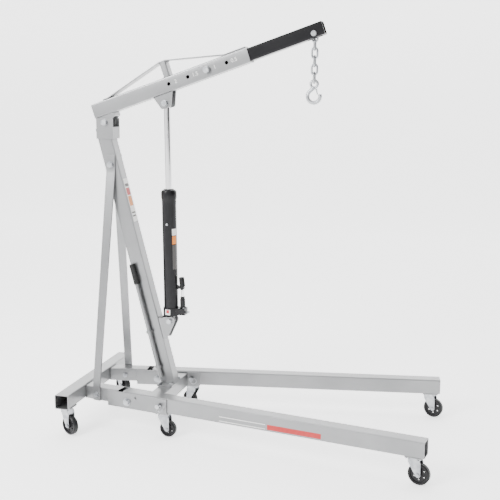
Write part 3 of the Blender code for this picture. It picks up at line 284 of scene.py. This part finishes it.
# The cross beam is a square tube between the channels. The mast's foot plate
# is bolted down on it with four hexagon bolts.
dress("cross_beam", SILVER)
dress("mast_tube", SILVER)
dress("mast_head_bracket", SILVER)


def plated(name, light, dark, roughness, scratch=0.04):
    """Plated steel: slightly uneven plate, fine scratches and a soft bump."""
    material = bpy.data.materials.new(name)
    material.use_nodes = True
    tree = material.node_tree
    shader = tree.nodes["Principled BSDF"]
    shader.inputs["Metallic"].default_value = 1.0
    place = tree.nodes.new("ShaderNodeTexCoord").outputs["Object"]
    patch = tree.nodes.new("ShaderNodeTexNoise")
    patch.inputs["Scale"].default_value = 45.0
    patch.inputs["Detail"].default_value = 6.0
    link(tree, place, patch.inputs["Vector"])
    tone = tree.nodes.new("ShaderNodeValToRGB")
    tone.color_ramp.elements[0].position = 0.35
    tone.color_ramp.elements[0].color = (*dark, 1.0)
    tone.color_ramp.elements[1].position = 0.65
    tone.color_ramp.elements[1].color = (*light, 1.0)
    link(tree, patch.outputs["Fac"], tone.inputs["Fac"])
    link(tree, tone.outputs["Color"], shader.inputs["Base Color"])
    fine = tree.nodes.new("ShaderNodeTexNoise")
    fine.inputs["Scale"].default_value = 420.0
    fine.inputs["Detail"].default_value = 3.0
    link(tree, place, fine.inputs["Vector"])
    spread = tree.nodes.new("ShaderNodeMapRange")
    spread.inputs["To Min"].default_value = roughness
    spread.inputs["To Max"].default_value = roughness + 0.15
    link(tree, fine.outputs["Fac"], spread.inputs["Value"])
    link(tree, spread.outputs["Result"], shader.inputs["Roughness"])
    bump = tree.nodes.new("ShaderNodeBump")
    bump.inputs["Strength"].default_value = scratch
    bump.inputs["Distance"].default_value = 0.0005
    link(tree, fine.outputs["Fac"], bump.inputs["Height"])
    link(tree, bump.outputs["Normal"], shader.inputs["Normal"])
    return material

ZINC = plated("bright_zinc", (0.46, 0.47, 0.48), (0.28, 0.29, 0.31), 0.24)


def add_round(bm, matrix, radius, low, high, sides=24, easing=0.0):
    """A disc or bar along a place's own Z between two heights, its rims eased."""
    made = bmesh.ops.create_cone(bm, cap_ends=True, segments=sides, radius1=radius, radius2=radius,
                                 depth=high - low)["verts"]
    bmesh.ops.translate(bm, vec=(0.0, 0.0, (low + high) / 2), verts=made)
    if easing:
        rims = [edge for edge in {edge for vert in made for edge in vert.link_edges}
                if abs(edge.verts[0].co.z - edge.verts[1].co.z) < 1e-6]
        eased = bmesh.ops.bevel(bm, geom=rims, offset=easing, affect="EDGES", segments=2,
                                profile=0.5, material=-1)
        made = list({vert for face in eased["faces"] for vert in face.verts} | {
            vert for vert in made if vert.is_valid})
    bmesh.ops.transform(bm, matrix=matrix, verts=made)


def add_hex_bolt(bm, matrix, flats, washer):
    """A washer and a hexagon head standing up a place's own Z from its seat."""
    add_round(bm, matrix, washer, 0.00005, 0.0016, 28, 0.0004)
    add_round(bm, matrix, flats / math.sqrt(3.0), 0.0016, 0.0016 + flats * 0.42, 6, flats * 0.05)
    add_round(bm, matrix, flats * 0.40, 0.0016 + flats * 0.38, 0.0016 + flats * 0.44, 24, 0.0003)


FOOT_TOP = 0.1843
foot_bolts = bmesh.new()
for along in (-0.026, 0.026):
    for across in (-0.053, 0.053):
        add_hex_bolt(foot_bolts, Matrix.Translation(crane(0.410 + along, across, FOOT_TOP)), 0.016, 0.0105)
finish_piece("foot_plate_bolts", "base", foot_bolts, ZINC, 30.0)

MAST_LEAN = math.radians(14.48)
mast_place = Matrix.Translation(crane(0.415, 0.0, FOOT_TOP)) @ Matrix.Rotation(-MAST_LEAN, 4, "Y")
foot_seam = bmesh.new()
for across in (-0.0335, 0.0335):
    add_weld_bead(foot_seam, crane(0.3815, across, FOOT_TOP + 0.0006),
                  crane(0.4470, across, FOOT_TOP + 0.0006), 0.0024)
for along in (0.3800, 0.4465):
    add_weld_bead(foot_seam, crane(along, -0.0335, FOOT_TOP + 0.0006),
                  crane(along, 0.0335, FOOT_TOP + 0.0006), 0.0024)
finish_piece("mast_foot_weld", "base", foot_seam, SILVER, 60.0)


# A tall printed film is stuck on the mast's front face: a pale ground with a
# red block, an orange block and three grey bars, and no words.
mast_front = 0.0335
for title, low, high, stock in (
        ("mast_film_ground", 0.762, 0.962, PALE_FILM), ("mast_film_bar_top", 0.925, 0.938, GREY_FILM),
        ("mast_film_red", 0.885, 0.918, RED_FILM), ("mast_film_orange", 0.835, 0.880, ORANGE_FILM),
        ("mast_film_bar_low", 0.785, 0.792, GREY_FILM), ("mast_film_bar_mid", 0.800, 0.807, GREY_FILM)):
    patch = bmesh.new()
    layer = 0.0 if title.endswith("ground") else FILM_THICK
    half = 0.022 if title.endswith("ground") else 0.018
    add_slab(patch, mast_place, (mast_front + FILM_GAP + layer, -half, low),
             (mast_front + FILM_THICK + layer, half, high))
    finish_piece(title, "base", patch, stock)


# Struts, truss and brackets are flat bar and folded plate in the same enamel.
for name in ("brace_left", "brace_right", "ram_foot_bracket", "boom_ram_bracket", "boom_heel",
             "truss_post", "truss_strap", "boom_tube"):
    dress(name, SILVER, edge=0.0006)


BOOM_ANGLE = math.radians(18.86)
boom_place = Matrix.Translation(crane(0.130, 0.0, 1.375)) @ Matrix.Rotation(-BOOM_ANGLE, 4, "Y")
boom_under, boom_over = 0.0295, 0.0945
boom_seam = bmesh.new()
for across in (-0.0285, 0.0285):
    add_weld_bead(boom_seam, boom_place @ Vector((-0.032, across, boom_under - 0.001)),
                  boom_place @ Vector((0.055, across, boom_under - 0.001)), 0.0018)
    add_weld_bead(boom_seam, boom_place @ Vector((0.256, across * 0.97, boom_under - 0.001)),
                  boom_place @ Vector((0.345, across * 0.97, boom_under - 0.001)), 0.0018)
    add_weld_bead(boom_seam, boom_place @ Vector((0.024, across * 0.9, boom_over + 0.001)),
                  boom_place @ Vector((0.044, across * 0.9, boom_over + 0.001)), 0.0018)
    add_weld_bead(boom_seam, boom_place @ Vector((0.632, across * 0.9, boom_over + 0.001)),
                  boom_place @ Vector((0.716, across * 0.9, boom_over + 0.001)), 0.0018)
for along in (0.3272, 0.3588):
    for height in (boom_over + 0.001, boom_over + 0.0655):
        add_weld_bead(boom_seam, boom_place @ Vector((along, -0.023, height)),
                      boom_place @ Vector((along, 0.023, height)), 0.0018)
finish_piece("boom_welds", "boom", boom_seam, SILVER, 60.0)

# Plain numbers are printed in white beside the boom's holes.
for count, (digits, along) in enumerate((("2", 0.372), ("1.5", 0.458), ("1", 0.560), ("0.5", 0.642))):
    text = bpy.data.curves.new(f"boom_number_{count}", "FONT")
    text.body = digits
    text.size = 0.024
    text.extrude = 0.0001
    holder = bpy.data.objects.new(f"boom_number_{count}_shape", text)
    bpy.context.scene.collection.objects.link(holder)
    bpy.context.view_layer.update()
    shape = bpy.data.meshes.new_from_object(holder.evaluated_get(bpy.context.evaluated_depsgraph_get()))
    bpy.data.objects.remove(holder, do_unlink=True)
    bpy.data.curves.remove(text)
    facing = Matrix.Translation((along, -0.0315 - 0.00012, 0.0545)) @ Matrix.Rotation(math.pi / 2, 4, "X")
    shape.transform(boom_place @ facing)
    number = bmesh.new()
    number.from_mesh(shape)
    bpy.data.meshes.remove(shape)
    finish_piece(f"boom_number_{count}", "boom", number, PALE_FILM)


# The black inner boom slides in the outer one. It is sprayed in gloss black.
BLACK = enamel("black_gloss", (0.011, 0.011, 0.012), (0.006, 0.006, 0.007), 0.14, 0.0, 0.04,
               (0.02, 0.02, 0.019), 0.0, 1.26)
dress("boom_extension", BLACK)


# The ram's cylinder, base and pump are black. Its rod is hard chrome.
for name in ("ram_cylinder", "ram_base_block", "pump_barrel", "handle_socket"):
    dress(name, BLACK, edge=0.0004)


# Plain films are wrapped on the cylinder and its base block. A filler plug and
# four small bolts are zinc plated. Two black rings lie sunk in the top collar.
ram_foot = crane(0.4245, 0.0, 0.4805)
ram_head = boom_place @ Vector((0.2967, 0.0, -0.0099))
ram_lean = math.atan2(ram_foot.x - ram_head.x, ram_head.z - ram_foot.z)
ram_place = Matrix.Translation(ram_foot) @ Matrix.Rotation(-ram_lean, 4, "Y")


def add_curved_film(bm, matrix, radius, low, high, start, end, steps=14):
    """A thin film wrapped round part of a cylinder between two angles in degrees."""
    thick = 0.00025
    corners = []
    for reach, height in ((radius, low), (radius + thick, low), (radius + thick, high), (radius, high)):
        turn = Matrix.Rotation(math.radians(start), 4, "Z")
        corners.append(bm.verts.new(turn @ Vector((reach, 0.0, height))))
    face = bm.faces.new(corners)
    bmesh.ops.spin(bm, geom=[face], axis=(0.0, 0.0, 1.0), cent=(0.0, 0.0, 0.0), steps=steps,
                   angle=math.radians(end - start), use_duplicate=False)
    bmesh.ops.transform(bm, matrix=matrix, verts=bm.verts)


for title, low, high, start, end, stock in (
        ("ram_film_pale", 0.395, 0.425, -50, -5, PALE_FILM),
        ("ram_film_orange", 0.355, 0.392, -50, -5, ORANGE_FILM),
        ("ram_film_grey", 0.240, 0.352, -50, -5, GREY_FILM)):
    patch = bmesh.new()
    add_curved_film(patch, ram_place, 0.03255, low, high, start, end)
    finish_piece(title, "ram", patch, stock)
for title, low, high, start, end, stock in (
        ("base_film_pale", 0.030, 0.055, -118, -78, PALE_FILM),
        ("base_film_red", 0.038, 0.053, -108, -86, RED_FILM)):
    patch = bmesh.new()
    add_curved_film(patch, ram_place, 0.03655 + (0.0003 if "red" in title else 0.0), low, high, start, end)
    finish_piece(title, "ram", patch, stock)

fittings = bmesh.new()
plug = ram_place @ Matrix.Translation((0.0, -0.0322, 0.4455)) @ Matrix.Rotation(math.pi / 2, 4, "X")
add_round(fittings, plug, 0.0055, 0.0, 0.0022, 20, 0.0005)
add_round(fittings, plug, 0.0034, 0.0020, 0.0042, 6, 0.0003)
for along, across in ((0.064, -0.014), (0.064, 0.014), (0.045, -0.015), (0.045, 0.015)):
    add_hex_bolt(fittings, ram_place @ Matrix.Translation((along, across, 0.059)), 0.007, 0.0045)
finish_piece("ram_fittings", "ram", fittings, ZINC, 30.0)
collar = bmesh.new()
for low, high, reach in ((0.574, 0.578, 0.0334), (0.588, 0.5925, 0.0338)):
    add_round(collar, ram_place, reach, low, high, 48, 0.0009)
finish_piece("ram_collar_rings", "ram", collar, BLACK, 35.0)

CHROME = plated("hard_chrome", (0.80, 0.80, 0.81), (0.72, 0.72, 0.73), 0.05, 0.01)
dress("ram_rod", CHROME, edge=0.0004)
dress("pump_plunger", CHROME, edge=0.0003)


# Bolts, forks, pins, chain and hook are bright zinc plate.
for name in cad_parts:
    if "bolt" in name or "_nut" in name or "lock_pin" in name or name.endswith("_fork"):
        dress(name, ZINC, edge=0.0004)
    elif name.startswith(("chain_link", "hook", "release")) and name != "hook_bolt":
        dress(name, ZINC, edge=0.0)
dress("pump_handle", SILVER, edge=0.0005)


# The wheels are moulded in black plastic, with a ring of round holes.
WHEEL = enamel("wheel_plastic", (0.018, 0.018, 0.019), (0.010, 0.010, 0.011), 0.34, 0.0, 0.08,
               (0.03, 0.029, 0.028), 0.0, 1.26)
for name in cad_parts:
    if name.endswith("_wheel"):
        dress(name, WHEEL, edge=0.0006)


# Each axle has a washer and a nut outside the fork's cheeks, and a thin ring
# lines each wheel's rim on both faces. Four short bolts hold each caster's plate.
WAYS = (-1.0, 1.0)
for kind in ("rear", "mid", "front"):
    for name, side in SIDES.items():
        wheel_low, wheel_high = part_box(f"{kind}_caster_{name}_wheel")
        hub = (wheel_low + wheel_high) / 2
        heading = {"rear": (-25, -25), "mid": (160, -5), "front": (-15, -15)}[kind][0 if side > 0 else 1]
        axle = Matrix.Translation(hub) @ Matrix.Rotation(math.radians(heading), 4, "Z")
        nuts = bmesh.new()
        for way in WAYS:
            outward = axle @ Matrix.Rotation(-way * math.pi / 2, 4, "X")
            add_round(nuts, outward, 0.0085, 0.0181, 0.0194, 24, 0.0003)
            add_round(nuts, outward, 0.0072, 0.0194, 0.0228, 6, 0.0004)
        finish_piece(f"{kind}_axle_nuts_{name}", f"{kind}_fork_{name}", nuts, ZINC, 30.0)
        rims = bmesh.new()
        reach = 0.0347 if kind != "mid" else 0.0292
        for way in WAYS:
            outward = axle @ Matrix.Rotation(-way * math.pi / 2, 4, "X")
            ring = [Vector((reach - 0.0012, 0.0, 0.0060)), Vector((reach - 0.0002, 0.0, 0.0112)),
                    Vector((reach + 0.0012, 0.0, 0.0112)), Vector((reach + 0.0008, 0.0, 0.0060))]
            start = [rims.verts.new(outward @ corner) for corner in ring]
            face = rims.faces.new(start)
            centre = outward.translation.copy()
            way_out = (outward.to_3x3() @ Vector((0.0, 0.0, 1.0))).normalized()
            bmesh.ops.spin(rims, geom=[face] + list(face.edges) + start, axis=way_out, cent=centre,
                           steps=48, angle=2 * math.pi, use_merge=True, use_duplicate=False)
            if face.is_valid:
                bmesh.ops.delete(rims, geom=[face], context="FACES_ONLY")
        bmesh.ops.remove_doubles(rims, verts=rims.verts, dist=0.00001)
        finish_piece(f"{kind}_rim_rings_{name}", f"{kind}_wheel_{name}", rims, WHEEL, 35.0)
        plate_top = {"rear": 0.125, "mid": 0.109, "front": 0.114}[kind]
        if kind == "rear":
            middle = Matrix.Translation(crane(0.0325, side * 0.292, plate_top))
        else:
            along = {"mid": 0.400, "front": 1.533}[kind]
            middle = arm_place(side) @ Matrix.Translation((along, 0.0, plate_top))
        heads = bmesh.new()
        for across in (-0.024, 0.024):
            for reach_x in (-0.027, 0.027):
                seat = middle @ Matrix.Translation((reach_x, across, 0.0)) @ Matrix.Rotation(math.pi, 4, "X")
                add_hex_bolt(heads, seat, 0.008, 0.0055)
        holder = f"leg_{name}" if kind == "front" else "base"
        finish_piece(f"{kind}_plate_bolts_{name}", holder, heads, ZINC, 30.0)


# The handle's grip is a black rubber sleeve with raised rings, pushed on its
# upper end.
RUBBER = enamel("grip_rubber", (0.020, 0.020, 0.020), (0.011, 0.011, 0.011), 0.55, 0.0, 0.12,
                (0.03, 0.029, 0.028), 0.0, 1.3)
grip = bmesh.new()
handle_place = mast_place @ Matrix.Translation((-0.018, -0.0465, 0.037))
add_round(grip, handle_place, 0.01325, 0.4470, 0.5402, 32, 0.0012)
for index in range(9):
    add_round(grip, handle_place, 0.0139, 0.4530 + index * 0.0095, 0.4565 + index * 0.0095, 32, 0.0006)
finish_piece("handle_grip", "pump_handle", grip, RUBBER, 35.0)


# A pale studio floor with a soft sweep, large soft lamps and a high camera.
paper = bpy.data.materials.new("pale_paper")
paper.use_nodes = True
paper_shader = paper.node_tree.nodes["Principled BSDF"]
paper_shader.inputs["Base Color"].default_value = (0.95, 0.95, 0.95, 1.0)
paper_shader.inputs["Roughness"].default_value = 0.85
paper_shader.inputs["Specular IOR Level"].default_value = 0.1
paper_shader.inputs["Emission Color"].default_value = (1.0, 1.0, 1.0, 1.0)
paper_shader.inputs["Emission Strength"].default_value = 1.5
sweep = bmesh.new()
bmesh.ops.create_grid(sweep, x_segments=1, y_segments=1, size=16.0,
                      matrix=Matrix.Translation((0.0, -8.0, -0.0006)))
back_edge = [edge for edge in sweep.edges if all(vert.co.y > 7.9 for vert in edge.verts)]
raised = bmesh.ops.extrude_edge_only(sweep, edges=back_edge)["geom"]
bmesh.ops.translate(sweep, vec=(0.0, 0.0, 12.0),
                    verts=[item for item in raised if isinstance(item, bmesh.types.BMVert)])
bmesh.ops.bevel(sweep, geom=back_edge, offset=2.5, affect="EDGES", segments=16, profile=0.5, material=-1)
sweep_mesh = bpy.data.meshes.new("studio_sweep")
sweep.to_mesh(sweep_mesh)
sweep.free()
sweep_mesh.materials.append(paper)
sweep_mesh.shade_smooth()
floor = bpy.data.objects.new("studio_sweep", sweep_mesh)
bpy.context.scene.collection.objects.link(floor)

world = bpy.data.worlds.new("studio_air")
world.use_nodes = True
air = world.node_tree
view_way = air.nodes.new("ShaderNodeTexCoord").outputs["Generated"]
toward = air.nodes.new("ShaderNodeVectorMath")
toward.operation = "DOT_PRODUCT"
toward.inputs[1].default_value = (-0.80, -0.50, 0.33)
link(air, view_way, toward.inputs[0])
brightness = air.nodes.new("ShaderNodeMapRange")
brightness.inputs["From Min"].default_value = -0.55
brightness.inputs["From Max"].default_value = 0.85
brightness.inputs["To Min"].default_value = 0.02
brightness.inputs["To Max"].default_value = 2.0
link(air, toward.outputs["Value"], brightness.inputs["Value"])
link(air, brightness.outputs["Result"], air.nodes["Background"].inputs["Strength"])
air.nodes["Background"].inputs["Color"].default_value = (1.0, 1.0, 1.0, 1.0)
bpy.context.scene.world = world


def lamp(name, place, target, size, power):
    """A square soft lamp at a place, facing its target."""
    light = bpy.data.lights.new(name, "AREA")
    light.shape = "SQUARE"
    light.size = size
    light.energy = power
    holder = bpy.data.objects.new(name, light)
    holder.location = place
    holder.rotation_euler = (Vector(target) - Vector(place)).to_track_quat("-Z", "Y").to_euler()
    bpy.context.scene.collection.objects.link(holder)


lamp("key_lamp", (-2.4, -3.4, 3.0), (0.0, 0.0, 0.7), 1.6, 220.0)
lamp("top_lamp", (-0.5, 0.8, 4.4), (0.0, 0.0, 0.6), 2.6, 110.0)

YAW, PITCH, ROLL = math.radians(15.55), math.radians(-10.13), math.radians(0.26)
forward = Vector((-math.sin(YAW) * math.cos(PITCH), math.cos(YAW) * math.cos(PITCH), math.sin(PITCH)))
level = forward.cross(Vector((0.0, 0.0, 1.0))).normalized()
upright = level.cross(forward)
right = level * math.cos(ROLL) + upright * math.sin(ROLL)
upward = upright * math.cos(ROLL) - level * math.sin(ROLL)
camera_data = bpy.data.cameras.new("studio_camera")
camera_data.sensor_width = 36.0
camera_data.lens = 63.69
camera = bpy.data.objects.new("studio_camera", camera_data)
camera.matrix_world = Matrix.Translation(crane(1.8278, -3.7044, 1.5120)) @ Matrix(
    (right, upward, -forward)).transposed().to_4x4()
bpy.context.scene.collection.objects.link(camera)
bpy.context.scene.camera = camera
